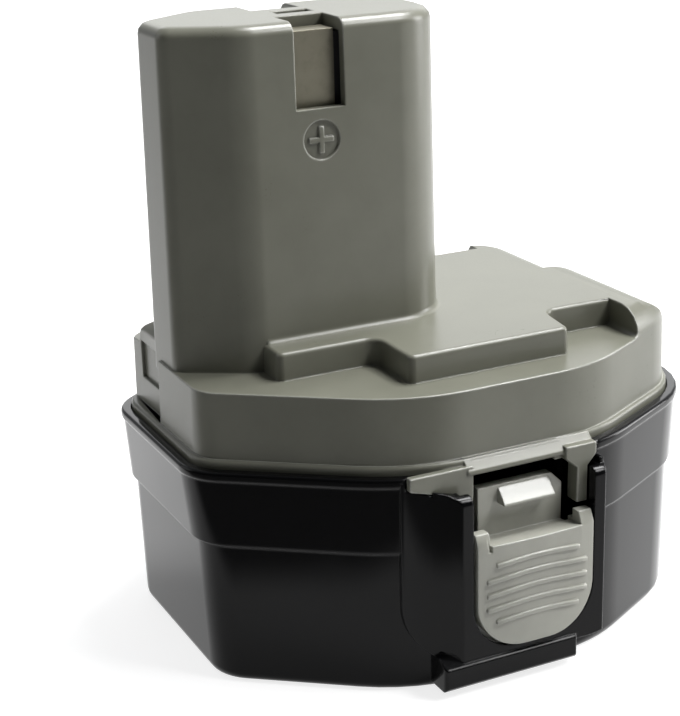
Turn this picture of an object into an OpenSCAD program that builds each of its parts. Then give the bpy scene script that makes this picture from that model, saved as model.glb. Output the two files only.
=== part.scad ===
// Rechargeable battery pack for a pistol-grip power tool.
// A wide base holds ten cells and a tall pod, which slides up into the tool's handle, holds two more.
// Millimetres, +Z up. The origin is on the table under the middle of the rim, +X points away from
// the pod and the two squeeze latches face -Y and +Y.

/* [Heights] */
// Overall height, from the table to the top of the pod
pack_height = 114.5; // [113:0.5:118]
// Height of the lower case's rim
rim_z = 40.9; // [40:0.1:42]
// Thickness of the foam pads between the cells' sheet and the housing
foam_t = 4.4; // [3.6:0.1:5.4]
// Rise from the ledge to the platform
platform_rise = 5; // [4.4:0.2:5.4]
// Height of the crease round the lower case
crease_z = 27; // [24:0.2:29]

/* [Base outline] */
// Distance from the middle to the left end of the rim
rim_left = 51.2; // [51:0.1:54]
// Distance from the middle to the right end of the rim
rim_right = 51.2; // [50.6:0.1:54]
// Distance from the middle to each long side of the rim
rim_half_width = 43.1; // [42.9:0.1:45]
// Half length of the left end, to its sharp corner
left_end_half = 19; // [18:0.2:20]
// Half length of the right end, to its sharp corner
right_end_half = 25.2; // [23:0.1:26]
// Where the straight long side starts, at the left
side_start = -19.3; // [-21:0.1:-18]
// Where the straight long side ends, at the right
side_end = 18.2; // [17:0.1:20]
// Corner radius of the left end
left_corner_r = 10; // [9.5:0.5:12]
// Corner radius of the right end
right_corner_r = 21; // [18:1:26]
// Radius between a slanted wall and a long side
side_r = 34; // [24:1:40]

/* [Shells] */
// Wall of the lower case
case_wall = 2.2; // [1.8:0.1:2.3]
// Floor of the lower case
case_floor = 2.5; // [2:0.1:3]
// Inset of the lower case's wall just above the bottom rounding
case_taper = 1; // [0.9:0.1:1.3]
// Radius of the bottom edge of the lower case
bottom_r = 2; // [1.4:0.1:2.6]
// How much further in the two ends are at the bottom than at the rim
end_taper = 2.3; // [1.5:0.1:2.6]
// Depth of the step at the crease
crease_step = 0.5; // [0.3:0.1:0.5]
// Inset of the upper housing's lip from the rim
lip_inset = 2.1; // [2:0.1:2.4]
// Clearance between the lip and the rim
lip_gap = 0.2; // [0.1:0.05:0.4]
// Width of the lip outside the upper wall
lip_w = 0.8; // [0.7:0.1:1.1]
// Height of the lip above the rim
lip_h = 1.4; // [1:0.1:2]
// Wall of the upper housing
housing_wall = 2.4; // [1.8:0.1:2.6]
// Wall of the pod
pod_wall = 1.9; // [1.6:0.1:1.9]

/* [Platform] */
// Left face of the first block
block_left = -33.7; // [-34.4:0.1:-32]
// Half width of the first block
block_half = 19.7; // [19:0.1:20.6]
// Left face of the wide block
wing_left = -14.7; // [-16:0.1:-13]
// Right face of the wide block
wing_right = 17.4; // [16:0.1:19]
// Half width of the wide block
wing_half = 32.3; // [31:0.1:33]
// Half width between the two notches
notch_half = 21.9; // [21.4:0.1:23]
// Right end of the ledge, where the nose begins
ledge_end = 33.3; // [32:0.1:34]
// Fillet between the ledge and its end
ledge_r = 1.2; // [0.8:0.1:2]
// How much lower the far half of the nose lies
nose_dip = 1.8; // [1.2:0.1:2]
// Radius of the nose's upper edge
top_r = 5; // [3:0.5:5.5]
// Radius of the nose at the right end
nose_r = 14; // [11:0.5:16]

/* [Pod] */
// Left end of the pod
pod_left = -47.5; // [-47.8:0.1:-47]
// Right end of the pod
pod_right = 5.4; // [5.2:0.1:7]
// Half depth of the pod
pod_half = 13.6; // [13.6:0.1:14.4]
// Half width of the pod's flat left end
pod_end_half = 6; // [5:0.5:7]
// Length of the pod's slanted left faces along X
pod_slant = 12.2; // [11:0.2:13]
// Draft of the pod over its height
pod_draft = 0.6; // [0.2:0.1:0.8]
// Radius of the fillet round the pod's foot
pod_foot_r = 1; // [0.6:0.1:1.4]
// Radius of the pod's top edge
pod_top_r = 2; // [1:0.1:2.4]
// Middle of the terminal slots along X
slot_x = -20.9; // [-21.6:0.1:-20]
// Width of a terminal slot
slot_w = 9.1; // [8.6:0.1:10]
// Depth of a terminal slot below the pod's top
slot_h = 14.9; // [13:0.1:15.4]
// How far a slot reaches in across the pod's top
slot_reach = 8.8; // [8.2:0.1:9.4]
// Radius of the recessed polarity mark
mark_r = 3.4; // [2.6:0.1:4]
// Height from the mark's centre to the bottom of the slot
mark_drop = 5.5; // [4.5:0.1:7]

/* [Latches] */
// Middle of the latches along X
latch_x = 2.25; // [1.2:0.05:3.4]
// Half width of a button's pad
pad_half = 11.8; // [11:0.1:12.2]
// Top of a button's pad below the rim
pad_drop = 11.1; // [10:0.1:12]
// Bottom of a button's pad above the table
pad_bottom = 7.8; // [7.6:0.1:9]
// Radius of a pad's lower corners
pad_r = 9; // [7:0.5:10]
// How far a pad stands out from its shroud
pad_stand = 1.2; // [0.8:0.1:1.6]
// Thickness of a pad
pad_t = 2.7; // [2.2:0.1:3.2]
// How far a button travels when it is squeezed
latch_travel = 3.5; // [3:0.1:3.8]
// Clearance round a button
latch_gap = 0.5; // [0.3:0.05:0.7]
// How far a shroud stands out from the rim
shroud_stand = 2.7; // [2.4:0.1:3]
// Wall of a shroud
shroud_wall = 2.2; // [1.8:0.1:2.4]
// Depth of a latch well behind the rim
well_depth = 10.2; // [10:0.1:10.4]
// Number of grip ribs on a pad
grip_ribs = 5; // [3:1:6]
// Distance between grip ribs
rib_step = 2.7; // [2.2:0.1:3]

/* [Feet] */
// Left end of a foot block
foot_left = -16.2; // [-18:0.1:-15]
// Right end of a foot block
foot_right = 11.5; // [10:0.5:13]
// How far a foot block stands out from the rim
foot_stand = 3.4; // [3:0.1:3.6]
// Clearance between a foot block and the table
foot_z = 1.5; // [0.5:0.1:2]
// Height of a foot block
foot_h = 6; // [5:0.2:6.2]

/* [Cells] */
// Length of a cell with its cap
cell_length = 43; // [42:0.2:43.4]
// Thickness of a cell's sleeve
sleeve_t = 0.15; // [0.1:0.05:0.2]
// Thickness of the insulating sheets
sheet_t = 0.8; // [0.4:0.1:1]
// Thickness of the welded tabs
tab_t = 0.2; // [0.1:0.05:0.3]

/* [Screws] */
// Distance of the screws from the middle along X
screw_x = 38.2; // [37.8:0.1:38.8]
// Distance of the screws from the slanted walls at the left
screw_in = 8.5; // [8.2:0.1:9]
// Shank diameter of a screw
screw_d = 3; // [2.5:0.1:3.4]
// Length of a screw's shank
screw_length = 20; // [16:1:24]

/* [Hidden] */
$fn = 64;
corner_steps = 6;
eps = 0.01;
reach = 200;

// Colours, as they look in daylight
grey = [0.36, 0.36, 0.32];
black = [0.05, 0.05, 0.055];
pale_grey = [0.62, 0.62, 0.58];
steel = [0.75, 0.75, 0.76];
brass = [0.8, 0.66, 0.36];

// Heights of the two shells' joint and of the platform
rim_depth = 2.4;
shelf_w = 2.2;
shelf_z = rim_z - rim_depth;
lip_top = rim_z + lip_h;
shelf_inset = lip_inset + shelf_w;
wall_inset = lip_inset + lip_w;
wall_draft = 0.3;

// Sharp corners with their radii, near half from left to right, and the far half mirrored
function both_halves(half) =
  concat(half, [for (i = [len(half) - 1:-1:0]) [half[i][0], -half[i][1], half[i][2]]]);
// The ends can be drawn further in, with their corners kept on the slanted walls
left_slant = (rim_half_width - left_end_half) / (side_start + rim_left);
right_slant = (rim_half_width - right_end_half) / (rim_right - side_end);
function base_corners(end_in) = both_halves([
  [end_in - rim_left, -left_end_half - left_slant * end_in, left_corner_r],
  [side_start, -rim_half_width, side_r],
  [side_end, -rim_half_width, side_r],
  [rim_right - end_in, -right_end_half - right_slant * end_in, right_corner_r]
]);
rim_corners = base_corners(0);
pod_end_r = 4;
pod_slant_r = 10;
pod_front_r = 11;
pod_corners = both_halves([
  [pod_left, -pod_end_half, pod_end_r],
  [pod_left + pod_slant, -pod_half, pod_slant_r],
  [pod_right, -pod_half, pod_front_r]
]);
notch_slant = 1.6;
block_r = 1.2;
platform_corners = both_halves([
  [block_left, -block_half, block_r],
  [wing_left, -block_half, 2 * block_r],
  [wing_left, -wing_half, block_r],
  [wing_right, -wing_half, block_r],
  [wing_right + notch_slant, -notch_half, 2 * block_r],
  [rim_right + 10, -notch_half, block_r]
]);

// Places in the latches, given as distances from the middle towards a long side
shroud_front = rim_half_width + shroud_stand;
shroud_half = pad_half + latch_gap + shroud_wall;
shroud_top = rim_z - 3.6;
shroud_bottom = 5;
// Hollow flank at the left, sloping shoulder over it and steep flank at the right
flank_w = 9;
flank_d = 5.2;
flank_r = 12;
flank_x = latch_x - shroud_half - flank_w;
flank_start = [flank_x, flank_d - shroud_front];
flank_pull = flank_start + [0.58 * flank_w, -0.15 * flank_d];
flank_end = [latch_x - shroud_half, -shroud_front];
function flank_point(t) =
  (1 - t) * (1 - t) * flank_start + 2 * t * (1 - t) * flank_pull + t * t * flank_end;
steep_w = 5;
well_front = shroud_front - shroud_wall;
well_back = rim_half_width - well_depth;
well_half = pad_half + 2;
well_wall = 1.6;
well_bottom = pad_bottom - 1.7;
pad_front = shroud_front + pad_stand;
pad_back = pad_front - pad_t;
pad_top = rim_z - pad_drop;
pad_bulge_r = 90;
wing_t = 1.5;
wing_front = well_front - lip_gap;
wing_reach = well_half - latch_gap;
boss_back = well_back + latch_travel + 1.2;
hook_half = 5.2;
// The pad's top dips between its corners and falls a little towards the plate
dip = 2;
dip_fall = 1;
shelf_t = 1.6;
shelf_foot = pad_top - dip - dip_fall - shelf_t;
plate_half = 8.6;
plate_t = 2;
plate_cut = 2.2;
plate_front = rim_half_width - lip_inset - 0.4;
plate_top = rim_z - 4.8;
spring_z = (pad_top + pad_bottom) / 2;
spring_r = 2.8;
spring_wire = 0.7;
spring_turns = 6;
bore_end_gap = 0.3;
spring_front = pad_back + 0.3;
bore_r = spring_r + spring_wire / 2 + 0.5;
boss_r = bore_r + 1.1;

// Cells stand on the lower sheet and tabs, in rows of three, four and three. They are as wide as fits
// between the two latch wells, along the row of four between the ends, and in the pod.
cell_gap = 0.2;
bore_gap = 0.05;
fit_gap = 0.5;
pod_gap = 0.1;
sleeve_room = bore_gap + sleeve_t;
pitch_room = 2 * sleeve_room + cell_gap;
half_width_room = well_back - well_wall - fit_gap;
half_length_room = min(rim_left, rim_right) - case_taper - case_wall - end_taper - fit_gap;
half_pod_room = pod_half - pod_wall - 0.65 * pod_draft - pod_gap;
cell_d = min(
  (half_width_room - sleeve_room - pitch_room * sin(60)) / (sin(60) + 0.5),
  (half_length_room - sleeve_room - 1.5 * pitch_room) / 2,
  2 * (half_pod_room - sleeve_room)
);
sleeve_r = cell_d / 2 + sleeve_room;
cell_pitch = (half_length_room - sleeve_r) / 1.5;
row_pitch = half_width_room - sleeve_r;
cell_z = case_floor + sheet_t + tab_t;
cell_top = cell_z + cell_length;
cap_h = 1.4;
can_h = cell_length - cap_h;
upper_sheet_z = cell_top + tab_t;
ceiling_z = upper_sheet_z + sheet_t + foam_t;
ledge_z = ceiling_z + housing_wall;
platform_z = ledge_z + platform_rise;
pod_cell_z = upper_sheet_z + sheet_t + tab_t;
pod_cell_top = pod_cell_z + cell_length;
pod_sheet_z = pod_cell_top + tab_t;
block_z = pod_sheet_z + sheet_t;
pod_pitch = 2 * sleeve_r + cell_gap;
pod_cell_x = pod_right - pod_wall - pod_draft - cell_gap - sleeve_r;
valley_x = pod_cell_x - pod_pitch / 2;
function row_three(y) = [for (i = [-1:1]) [i * cell_pitch, y]];
row_four = [for (i = [-1.5:1.5]) [i * cell_pitch, 0]];
near_row = row_three(-row_pitch);
far_row = row_three(row_pitch);
// Order of the base cells in the series chain
chain = [
  far_row[0], far_row[1], far_row[2], row_four[3], near_row[2],
  near_row[1], near_row[0], row_four[0], row_four[1], row_four[2]
];
pod_chain = [[pod_cell_x, 0], [pod_cell_x - pod_pitch, 0]];

// Terminals
slot_z = pack_height - slot_h;
mark_depth = 0.6;
mark_z = slot_z - mark_drop;
mark_face = pod_half - pod_lean(mark_z);
contact_t = 0.8;
contact_w = slot_w - 1.5;
pod_ceiling = pack_height - 2.4;
block_half_depth = pod_half - pod_wall - pod_draft - contact_t - 0.4;
block_top = pod_ceiling - 0.3;
block_left_in = 14.5;
block_right_in = 8.2;
block_x0 = pod_left + block_left_in;
block_x1 = pod_right - block_right_in;
slit_l = 6.8;
slit_w = 3.2;
tail_h = 4;
tail_z = block_z + 1.6;

// Screw posts, in line with the slanted walls at the left
screw_y = left_end_half + left_slant * (rim_left - screw_x) - screw_in * norm([1, left_slant]);
post_r = screw_d / 2 + 1.7;
boss_radius = screw_d / 2 + 2.5;
head_r = screw_d / 2 + 1.3;
head_h = 2.4;
cross_l = 1.4 * head_r;
cross_w = 0.8;
cross_depth = 1.2;
sink_z = 12;
boss_top = 20;

function unit(v) = v / norm(v);
function outward(a, b) = let (u = unit(b - a)) [u[1], -u[0]];
function place(corners, i) = let (c = corners[(i + len(corners)) % len(corners)]) [c[0], c[1]];

// Points of one rounded corner b between a and c, drawn inset from the sharp outline
function rounded(a, b, c, r, inset) =
  let (
    n1 = outward(a, b),
    n2 = outward(b, c),
    side = sign(cross(n1, n2)),
    centre = b - side * r * (n1 + n2) / (1 + n1 * n2),
    from = atan2(n1[1], n1[0]),
    turn = side * acos(n1 * n2)
  )
  [for (i = [0:corner_steps])
    let (t = from + turn * i / corner_steps) centre + (side * r - inset) * [cos(t), sin(t)]];

function outline(corners, inset) = [
  for (i = [0:len(corners) - 1])
    each rounded(place(corners, i - 1), place(corners, i), place(corners, i + 1), corners[i][2], inset)
];

// Skin over outlines with equal numbers of points, given as [height, outline]
module skin_over(sections) {
  n = len(sections[0][1]);
  last = len(sections) - 1;
  points = [for (s = sections) for (p = s[1]) [p[0], p[1], s[0]]];
  sides = [
    for (k = [0:last - 1])
      for (i = [0:n - 1])
        let (j = (i + 1) % n) [k * n + i, (k + 1) * n + i, (k + 1) * n + j, k * n + j]
  ];
  bottom = [for (i = [0:n - 1]) i];
  top = [for (i = [n - 1:-1:0]) last * n + i];
  polyhedron(points, concat([bottom], sides, [top]));
}

// Skin over one set of corners at several [height, inset] sections
module loft(corners, sections)
  skin_over([for (s = sections) [s[0], outline(corners, s[1])]]);

// Skin over the base at several [height, inset, end inset] sections
module base_loft(sections)
  skin_over([for (s = sections) [s[0], outline(base_corners(s[2]), s[1])]]);

// Tube of round section swept along points
function path_tangent(path, i) =
  unit(path[min(i + 1, len(path) - 1)] - path[max(i - 1, 0)]);
module tube(path, r, sides, hint) {
  n = len(path);
  points = [
    for (i = [0:n - 1])
      let (
        t = path_tangent(path, i),
        u = unit(cross(t, hint)),
        v = cross(t, u)
      )
      for (k = [0:sides - 1])
        let (a = 360 * k / sides) path[i] + r * (u * cos(a) + v * sin(a))
  ];
  skin = [
    for (i = [0:n - 2])
      for (k = [0:sides - 1])
        let (a = i * sides + k, b = i * sides + (k + 1) % sides)
        each [[a, b, a + sides], [b, b + sides, a + sides]]
  ];
  start = [for (k = [sides - 1:-1:0]) k];
  finish = [for (k = [0:sides - 1]) (n - 1) * sides + k];
  polyhedron(points, concat([start], skin, [finish]));
}

module on_both_sides() {
  children();
  mirror([0, 1, 0]) children();
}

// Extrudes an outline drawn in X and Z from one distance towards -Y to another
module towards_front(from, to) {
  translate([0, -from, 0]) rotate([90, 0, 0]) linear_extrude(to - from) children();
}

// Outline with square top corners and rounded lower corners
module shield(half, bottom, top, r) {
  translate([-half, bottom + r]) square([2 * half, top - bottom - r]);
  translate([r - half, bottom]) square([2 * (half - r), r + eps]);
  for (s = [-1, 1]) translate([s * (half - r), bottom + r]) circle(r);
}

module at_screws() {
  for (x = [-screw_x, screw_x])
    for (y = [-screw_y, screw_y])
      translate([x, y, 0]) children();
}

// Lower case
rim_step = 0.4;
crease_end_in = 0.4 * end_taper;
under_end_in = crease_end_in + 0.6;
module case_skin() {
  steps = [0:22.5:90];
  base_loft(concat(
    [for (t = steps) [bottom_r * (1 - cos(t)), case_taper + bottom_r * (1 - sin(t)), end_taper]],
    [
      [crease_z - crease_step, case_taper, under_end_in],
      [crease_z, case_taper - crease_step, crease_end_in],
      [rim_z - 1.9, rim_step, 0],
      [rim_z - 1.9 + rim_step, 0, 0],
      [rim_z - rim_step, 0, 0],
      [rim_z, rim_step, 0]
    ]
  ));
}

module case_cavity() {
  fillet = 1;
  inner = case_taper + case_wall;
  base_loft([
    [case_floor, inner + fillet, end_taper],
    [case_floor + fillet, inner, end_taper],
    [crease_z - crease_step, inner, under_end_in],
    [shelf_z - 5, inner - crease_step, crease_end_in / 2],
    [shelf_z - 3, shelf_inset, 0],
    [rim_z + 1, shelf_inset, 0]
  ]);
  loft(rim_corners, [[shelf_z, lip_inset - lip_gap], [rim_z + 1, lip_inset - lip_gap]]);
}

module shroud() {
  intersection() {
    linear_extrude(rim_z)
      polygon(concat(
        [for (t = [0:0.125:1]) flank_point(t)],
        [
          [latch_x + shroud_half, -shroud_front],
          [latch_x + shroud_half + steep_w, -shroud_front + 2 * steep_w],
          [latch_x + shroud_half + steep_w, -well_back],
          [flank_x, -well_back]
        ]
      ));
    towards_front(0, reach) {
      translate([latch_x, 0]) shield(shroud_half + flank_w, shroud_bottom, shroud_top, flank_r);
      polygon(concat(shoulder, [[latch_x - shroud_half, shroud_top - 1], [shoulder[0][0], shroud_top - 1]]));
    }
    shroud_edge();
  }
}

// Slope that falls from the rim to the shroud's top at the left
shoulder = [
  [flank_x - 1, rim_z],
  [flank_x + 2.3, rim_z - 1.8],
  [latch_x - shroud_half + eps, shroud_top]
];

// Rounds the shroud's upper front edge
module shroud_edge() {
  r = 1.6;
  steps = [0:22.5:90];
  rotate([90, 0, 90])
    translate([0, 0, -reach / 2])
      linear_extrude(reach)
        polygon(concat(
          [[0, 0], [-shroud_front, 0]],
          [for (t = steps) [-shroud_front + r * (1 - cos(t)), shroud_top - r * (1 - sin(t))]],
          [[-rim_half_width, rim_z], [0, rim_z]]
        ));
}

module foot() {
  front = rim_half_width + foot_stand;
  top = foot_z + foot_h;
  edge = 0.8;
  intersection() {
    linear_extrude(top)
      polygon([
        [foot_left, edge - front],
        [foot_left + edge / 2, -front],
        [foot_right - edge, -front],
        [foot_right, 2 * edge - front],
        [foot_right, -well_back],
        [foot_left, -well_back]
      ]);
    rotate([90, 0, 90])
      translate([0, 0, -reach / 2])
        linear_extrude(reach)
          polygon([
            [-well_back, foot_z], [edge - front, foot_z], [-front, foot_z + edge],
            [-front, top - 2 * edge], [3 * edge - front, top], [-well_back, top]
          ]);
  }
}

module lower_case() color(black) {
  difference() {
    union() {
      difference() {
        union() {
          case_skin();
          on_both_sides() {
            shroud();
            foot();
          }
        }
        case_cavity();
      }
      on_both_sides()
        towards_front(well_back - well_wall, well_front)
          translate([latch_x, 0])
            shield(well_half + well_wall, well_bottom - well_wall, shelf_z - 0.1, pad_r + well_wall);
      at_screws() translate([0, 0, case_floor / 2]) cylinder(r = boss_radius, h = boss_top - case_floor / 2);
    }
    on_both_sides() {
      towards_front(well_back, well_front)
        translate([latch_x, 0]) shield(well_half, well_bottom, rim_z + 2, pad_r);
      towards_front(well_front - eps, shroud_front + 1)
        translate([latch_x, 0])
          shield(pad_half + latch_gap, pad_bottom - latch_gap, rim_z + 2, pad_r);
      translate([latch_x - shroud_half, -reach, shroud_top])
        cube([2 * shroud_half, reach - well_back + well_wall, 10]);
      // The rim falls to the shroud, with room behind it for the housing's skirt
      towards_front(rim_half_width - lip_inset, reach)
        polygon(concat(shoulder, [[latch_x - shroud_half + eps, rim_z + 1], [shoulder[0][0], rim_z + 1]]));
      towards_front(skirt_back - lip_gap, skirt_front + lip_gap)
        offset(delta = lip_gap) polygon(skirt_outline);
    }
    at_screws() {
      translate([0, 0, -1]) cylinder(r = head_r + 0.2, h = sink_z + 1);
      cylinder(r = screw_d / 2 + 0.2, h = boss_top + 1);
    }
  }
  // Pegs that centre the springs in the wells
  on_both_sides()
    translate([latch_x, -well_back + eps, spring_z])
      rotate([90, 0, 0]) cylinder(r = spring_r - spring_wire / 2 - 0.5, h = 1.6);
}

// Upper housing
module housing_skin() {
  edge = 0.4;
  upper = wall_inset + wall_draft;
  steps = [0:22.5:90];
  difference() {
    loft(rim_corners, concat(
      [
        [shelf_z, lip_inset],
        [lip_top - edge, lip_inset],
        [lip_top, lip_inset + edge],
        [lip_top, wall_inset]
      ],
      [for (t = steps) [platform_z - top_r * (1 - sin(t)), upper + top_r * (1 - cos(t))]]
    ));
    nose_cut();
    ledge_cut();
    end_recess();
  }
}

// The far half of the left end lies deeper, with a pocket in it
module end_recess() {
  pocket_y = lug_y0 + 2.2;
  pocket_w = 9;
  pocket_h = 7;
  pocket_depth = 0.6;
  translate([-rim_left, lug_y0, lip_top]) cube([wall_inset + end_step, left_end_half, reach]);
  translate([-rim_left, pocket_y, ledge_z + 0.4 - pocket_h])
    cube([wall_inset + end_step + pocket_depth, pocket_w, pocket_h]);
}

// Rounding of the right end, which falls to a lower level on the far half
module nose_cut() {
  nose_x = rim_right - wall_inset - nose_r;
  dip_start = 2;
  dip_end = 7;
  difference() {
    translate([nose_x, -reach / 2, platform_z - nose_r]) cube([reach, reach, reach]);
    translate([nose_x, 0, platform_z - nose_r])
      rotate([90, 0, 0])
        rotate_extrude($fn = 96)
          polygon([
            [0, -reach / 2], [nose_r - nose_dip, -reach / 2], [nose_r - nose_dip, -dip_end],
            [nose_r, -dip_start], [nose_r, reach / 2], [0, reach / 2]
          ]);
  }
  translate([ledge_end, 0, platform_z])
    rotate([90, 0, 90])
      linear_extrude(max(nose_x - ledge_end, 0) + eps)
        polygon([[dip_start, 0], [dip_end, -nose_dip], [reach, -nose_dip], [reach, 1], [dip_start, 1]]);
}

module ledge_cut() {
  difference() {
    towards_front(-reach / 2, reach / 2) {
      translate([-reach, ledge_z]) square([reach + ledge_end - ledge_r, reach]);
      translate([-reach, ledge_z + ledge_r]) square([reach + ledge_end, reach]);
      translate([ledge_end - ledge_r, ledge_z + ledge_r]) circle(ledge_r);
    }
    loft(platform_corners, [
      [ledge_z - 1, -0.2],
      [platform_z - 0.8, 0],
      [platform_z - 0.25, 0.2],
      [platform_z, 0.7],
      [platform_z + reach, 0.7]
    ]);
    end_lug();
  }
}

// Raised lug at the far left corner, beside the pod
end_step = 1.2;
lug_y0 = 2;
module end_lug() {
  lug_y1 = left_end_half - 4.8;
  lug_r = platform_rise + 0.5;
  lug_l = 10;
  translate([-rim_left, 0, 0])
    rotate([90, 0, 90])
      linear_extrude(lug_l) {
        translate([lug_y0, ledge_z - 1]) square([lug_y1 - lug_y0 - lug_r, platform_rise + 1]);
        translate([lug_y1 - lug_r, platform_z - lug_r]) circle(lug_r);
      }
}

// The pod's walls lean in from its foot to its top edge
function pod_lean(z) = pod_draft * (z - ceiling_z) / (pack_height - pod_top_r - ceiling_z);

module pod_skin() {
  loft(pod_corners, [
    [ceiling_z, 0],
    [pack_height - pod_top_r, pod_draft],
    [pack_height - 0.6 * pod_top_r, pod_draft + 0.1 * pod_top_r],
    [pack_height - 0.2 * pod_top_r, pod_draft + 0.45 * pod_top_r],
    [pack_height, pod_draft + pod_top_r]
  ]);
  // Fillet round its foot on the platform
  top = platform_z + pod_foot_r;
  intersection() {
    loft(pod_corners, concat(
      [[ledge_z, -pod_foot_r]],
      [for (t = [0:22.5:90]) [top - pod_foot_r * cos(t), pod_lean(top) - pod_foot_r * (1 - sin(t))]]
    ));
    loft(platform_corners, [[ledge_z - 1, 0.7], [top + 1, 0.7]]);
  }
}

module housing_cavity() {
  inner = wall_inset + housing_wall;
  loft(rim_corners, [[shelf_z - 1, inner], [ceiling_z, inner + wall_draft]]);
  // Room under the platform
  room_x0 = pod_right + 1;
  room_x1 = ledge_end - 2.5 * housing_wall;
  translate([room_x0, -block_half + housing_wall, ceiling_z - eps])
    cube([room_x1 - room_x0, 2 * (block_half - housing_wall), platform_rise]);
  loft(pod_corners, [[ceiling_z - 1, pod_wall], [pod_ceiling, pod_wall + pod_draft]]);
}

module terminal_cut() {
  translate([slot_x - slot_w / 2, -reach, slot_z])
    cube([slot_w, reach - block_half_depth - contact_t - eps, reach]);
  translate([slot_x - slot_w / 2, -pod_half - 1, pod_ceiling - 1])
    cube([slot_w, slot_reach + 1, reach]);
}

module mark_recess() {
  translate([slot_x, -mark_face + mark_depth, mark_z])
    rotate([90, 0, 0]) cylinder(r = mark_r, h = reach);
}

// Raised bar in the mark, turned to lie across or upright
module mark_bar(turn) {
  bar_w = 0.3 * mark_r;
  bar_l = 1.4 * mark_r;
  bar_sunk = 0.1;
  translate([slot_x, -mark_face + mark_depth + bar_sunk, mark_z])
    rotate([90, turn, 0])
      translate([-bar_l / 2, -bar_w / 2, 0]) cube([bar_l, bar_w, mark_depth]);
}

// Skirt that shows under the lip at the left of each latch and ends in a thin prong
post_w = 2.2;
post_x = plate_half + 1.6 + post_w / 2;
post_foot = pad_top + 0.6;
skirt_back = rim_half_width - lip_inset - 0.4;
skirt_front = rim_half_width - lip_inset + 1.1;
skirt_top = rim_z + 0.4;
skirt_right = latch_x - post_x + post_w / 2;
skirt_outline = [
  [flank_x + 1, rim_z - 2],
  [latch_x - post_x - 1.6, shroud_top - 1.2],
  [latch_x - post_x - 0.4, shroud_top - 2.4],
  [latch_x - post_x - 0.2, post_foot],
  [skirt_right - 0.5, post_foot],
  [skirt_right, shroud_top - 0.8],
  [skirt_right, skirt_top],
  [flank_x + 1, skirt_top]
];
module skirt() towards_front(skirt_back, skirt_front) polygon(skirt_outline);

// Post with a wide head at the right of each latch
module latch_post() {
  head_w = 3.4;
  head_right = shroud_half - post_x - 0.3;
  head_z = rim_z - 1.8;
  neck_z = head_z - 2;
  towards_front(skirt_back - 0.6, well_front - 0.5)
    translate([latch_x + post_x, 0])
      polygon([
        [-post_w / 2, post_foot], [post_w / 2, post_foot], [post_w / 2, neck_z],
        [head_right, head_z], [head_right, skirt_top], [-head_w, skirt_top], [-head_w, head_z],
        [-post_w / 2, neck_z]
      ]);
}

// Sloping bar over each latch, between the skirt and the post
bar_left = latch_x - post_x - 0.2;
bar_right = latch_x + shroud_half - 0.3;
bar_bottom = rim_z - 1.3;
module latch_bar() {
  bar_front = rim_half_width - lip_inset + 1.5;
  bar_back = rim_half_width - wall_inset - 0.4;
  translate([bar_left, 0, 0])
    rotate([90, 0, 90])
      linear_extrude(bar_right - bar_left)
        polygon([
          [-bar_back, lip_top + 0.1], [-bar_back - 0.6, lip_top + 0.1], [-bar_front, rim_z - 0.4],
          [-bar_front, rim_z - 1], [0.4 - bar_front, bar_bottom], [-bar_back, bar_bottom]
        ]);
}

// Clears the lip and wall below the bar
module under_bar() {
  translate([skirt_right, -reach, shelf_z - 1])
    cube([2 * post_x - post_w - 3.4, reach - well_back - housing_wall, bar_bottom - shelf_z + 1]);
}

module upper_housing() color(grey) {
  difference() {
    union() {
      housing_skin();
      pod_skin();
    }
    housing_cavity();
    on_both_sides() {
      terminal_cut();
      mark_recess();
      under_bar();
    }
    // Slit for the sensor contact
    translate([valley_x - slit_l / 2, -slit_w / 2, pod_ceiling - 1]) cube([slit_l, slit_w, reach]);
  }
  on_both_sides() {
    mark_bar(0);
    skirt();
    latch_post();
    latch_bar();
  }
  mark_bar(90);
  difference() {
    at_screws() translate([0, 0, boss_top]) cylinder(r = post_r, h = ceiling_z + 1 - boss_top);
    at_screws() translate([0, 0, boss_top - 1]) cylinder(r = screw_d / 2 + bore_gap, h = screw_length);
  }
}

// Latch buttons
module latch_button() color(pale_grey) {
  difference() {
    union() {
      intersection() {
        towards_front(pad_back, pad_front)
          translate([latch_x, 0]) shield(pad_half, pad_bottom, pad_top, pad_r);
        // The pad bulges a little across its width
        translate([latch_x, pad_bulge_r - pad_front, 0]) cylinder(r = pad_bulge_r, h = reach, $fn = 180);
      }
      // Wings behind the shroud keep the button in
      towards_front(wing_front - wing_t, wing_front)
        translate([latch_x, 0]) shield(wing_reach, well_bottom + latch_gap, pad_top - 2, pad_r - latch_gap);
      towards_front(wing_front - eps, pad_back + eps)
        translate([latch_x, 0]) shield(pad_half, pad_bottom, pad_top, pad_r);
      // Shelf and hook plate
      towards_front(plate_front - plate_t, wing_front)
        translate([latch_x - plate_half, shelf_foot]) square([2 * plate_half, pad_top - shelf_foot]);
      towards_front(plate_front - plate_t, plate_front)
        translate([latch_x, 0])
          polygon([
            [-plate_half, shelf_foot], [plate_half, shelf_foot],
            [plate_half, plate_top - plate_cut], [plate_half - plate_cut, plate_top],
            [-plate_half, plate_top]
          ]);
      hook();
      // Housing of the spring
      translate([latch_x, -boss_back, spring_z])
        rotate([90, 0, 0]) cylinder(r = boss_r, h = wing_front - boss_back);
      grip();
    }
    translate([latch_x, -boss_back + 1, spring_z])
      rotate([90, 0, 0]) cylinder(r = bore_r, h = spring_front + bore_end_gap - boss_back + 1);
    pad_dip();
  }
}

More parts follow.
